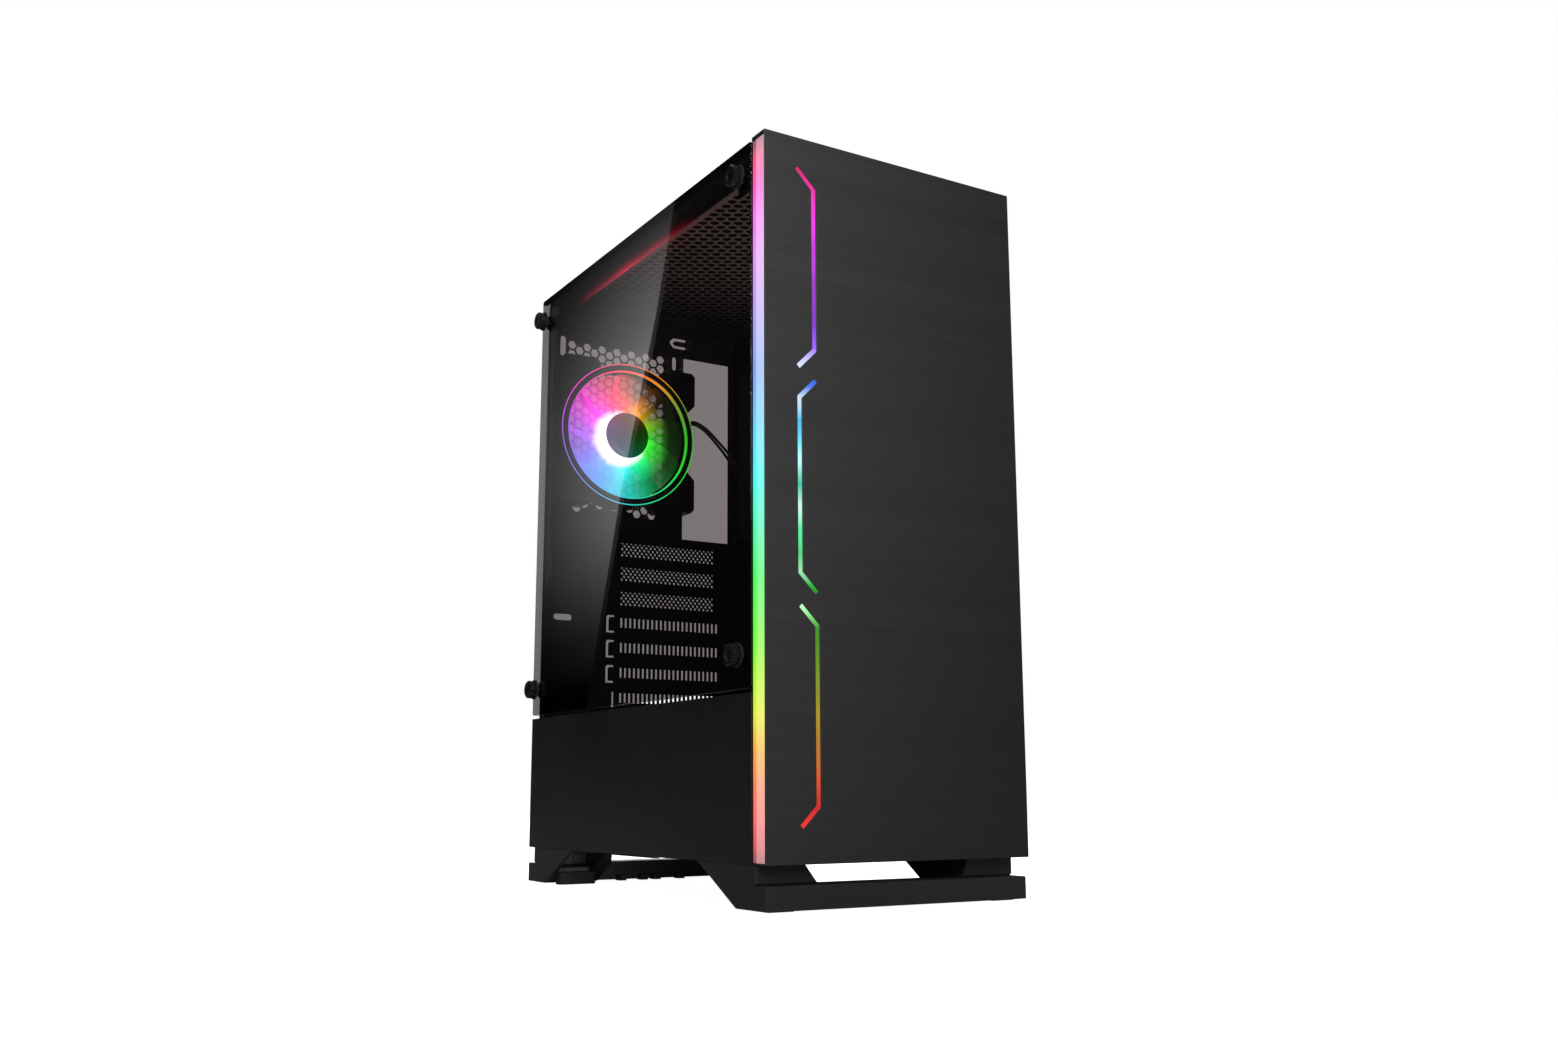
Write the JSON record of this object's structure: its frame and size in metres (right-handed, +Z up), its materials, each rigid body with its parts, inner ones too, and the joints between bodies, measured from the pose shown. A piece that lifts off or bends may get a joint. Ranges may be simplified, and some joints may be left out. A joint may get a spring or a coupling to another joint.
{
  "type": "desktop computer tower",
  "caption": "Mid-tower computer case with lit front lines and corner strip, tinted glass side, cross feet, lit rear fan, and front-panel ports and buttons.",
  "frame": {"origin": "bottom centre of the whole object, on the floor", "axes": "+Z up, -Y out of the front face, -X out of the glass side"},
  "size_m": [0.199, 0.363, 0.465],
  "materials": {
    "steel": "fine satin black powder coat",
    "brushed_front": "dark grey, finely brushed, satin",
    "black_plastic": "moulded, fine texture",
    "foot_plastic": "moulded, fine texture",
    "gloss_black": "glossy",
    "tinted_glass": "smoke-tinted, polished",
    "lit_strip": "milky diffuser, lit from behind",
    "lit_line": "milky diffuser, lit from behind",
    "lit_ring": "clear light guide, lit at its rims",
    "lit_blades": "translucent, lit from the hub",
    "circuit_board": "solder-masked board",
    "rubber": "matt",
    "cable_sleeve": "satin sheathed lead",
    "filter_plastic": "moulded frame with fine mesh",
    "port_metal": "plated port shells",
    "button": "glossy cap",
    "screw_black": "black, knurled, satin gloss"
  },
  "bodies": {
    "chassis": {"base_plate": "steel", "rear_panel": "steel", "motherboard_tray": "steel", "top_plate": "steel", "front_wall": "steel", "glass_side_frame": "steel", "psu_shroud": "steel", "lower_side_panel": "steel", "front_foot": "foot_plastic", "rear_foot": "foot_plastic", "front_foot_pad_1": "rubber", "front_foot_pad_2": "rubber", "rear_foot_pad_1": "rubber", "rear_foot_pad_2": "rubber", "slot_screw_cover": "steel", "fan_frame": "gloss_black", "fan_light_ring": "lit_ring", "fan_cable": "cable_sleeve", "light_controller": "black_plastic", "cable_grommet": "rubber", "port_bezel": "gloss_black", "port_board": "port_metal", "drive_cage": "steel", "drive_tray_1": "black_plastic", "drive_tray_2": "black_plastic", "slot_cover_1": "steel", "slot_cover_2": "steel", "slot_cover_3": "steel", "slot_cover_4": "steel", "slot_cover_5": "steel", "slot_cover_6": "steel", "slot_cover_7": "steel"},
    "front_panel": {"front_fascia": "brushed_front", "front_shell": "black_plastic", "light_strip_lens": "lit_strip", "light_strip_board": "circuit_board", "light_line_board": "circuit_board", "line_lens_top": "lit_line", "line_lens_middle": "lit_line", "line_lens_bottom": "lit_line"},
    "glass": {"glass_panel": "tinted_glass", "glass_bush_1": "rubber", "glass_bush_2": "rubber", "glass_bush_3": "rubber", "glass_bush_4": "rubber"},
    "side_panel": {"right_side_panel": "steel"},
    "fan_rotor": {"fan_rotor": "lit_blades"},
    "top_filter": {"top_dust_filter": "filter_plastic"},
    "psu_filter": {"psu_dust_filter": "filter_plastic"},
    "power_button": {"power_button": "button"},
    "reset_button": {"reset_button": "button"},
    "light_button": {"light_button": "button"},
    "glass_screw_1": {"glass_thumbscrew_1": "screw_black"},
    "glass_screw_2": {"glass_thumbscrew_2": "screw_black"},
    "glass_screw_3": {"glass_thumbscrew_3": "screw_black"},
    "glass_screw_4": {"glass_thumbscrew_4": "screw_black"},
    "side_screw_1": {"right_thumbscrew_1": "screw_black"},
    "side_screw_2": {"right_thumbscrew_2": "screw_black"}
  },
  "joints": [
    {"name": "fan_spin", "type": "hinge", "parent": "chassis", "child": "fan_rotor", "pos_m": [-0.0255, 0.15845, 0.355], "axis": [0, 1, 0], "continuous": true},
    {"name": "front_panel_pull", "type": "slide", "parent": "chassis", "child": "front_panel", "axis": [0, -1, 0], "range_m": [0, 0.05]},
    {"name": "glass_off", "type": "slide", "parent": "chassis", "child": "glass", "axis": [-1, 0, 0], "range_m": [0, 0.06]},
    {"name": "side_panel_slide", "type": "slide", "parent": "chassis", "child": "side_panel", "axis": [0, 1, 0], "range_m": [0, 0.018]},
    {"name": "top_filter_lift", "type": "slide", "parent": "chassis", "child": "top_filter", "axis": [0, 0, 1], "range_m": [0, 0.03]},
    {"name": "psu_filter_slide", "type": "slide", "parent": "chassis", "child": "psu_filter", "axis": [0, 1, 0], "range_m": [0, 0.13]},
    {"name": "glass_screw_1_turn", "type": "hinge", "parent": "glass", "child": "glass_screw_1", "pos_m": [-0.0965, -0.15005, 0.4455], "axis": [-1, 0, 0], "range_deg": [0, 1440]},
    {"name": "glass_screw_2_turn", "type": "hinge", "parent": "glass", "child": "glass_screw_2", "pos_m": [-0.0965, -0.15005, 0.146], "axis": [-1, 0, 0], "range_deg": [0, 1440]},
    {"name": "glass_screw_3_turn", "type": "hinge", "parent": "glass", "child": "glass_screw_3", "pos_m": [-0.0965, 0.16795, 0.4455], "axis": [-1, 0, 0], "range_deg": [0, 1440]},
    {"name": "glass_screw_4_turn", "type": "hinge", "parent": "glass", "child": "glass_screw_4", "pos_m": [-0.0965, 0.16795, 0.146], "axis": [-1, 0, 0], "range_deg": [0, 1440]},
    {"name": "side_screw_1_turn", "type": "hinge", "parent": "side_panel", "child": "side_screw_1", "pos_m": [0.0925, 0.17745, 0.06], "axis": [0, 1, 0], "range_deg": [0, 1440]},
    {"name": "side_screw_2_turn", "type": "hinge", "parent": "side_panel", "child": "side_screw_2", "pos_m": [0.0925, 0.17745, 0.43], "axis": [0, 1, 0], "range_deg": [0, 1440]},
    {"name": "power_button_press", "type": "slide", "parent": "chassis", "child": "power_button", "axis": [0, 0, -1], "range_m": [0, 0.0015], "stiffness_N_per_m": 700, "springref_m": -0.001},
    {"name": "reset_button_press", "type": "slide", "parent": "chassis", "child": "reset_button", "axis": [0, 0, -1], "range_m": [0, 0.0015], "stiffness_N_per_m": 700, "springref_m": -0.001},
    {"name": "light_button_press", "type": "slide", "parent": "chassis", "child": "light_button", "axis": [0, 0, -1], "range_m": [0, 0.0015], "stiffness_N_per_m": 700, "springref_m": -0.001}
  ]
}
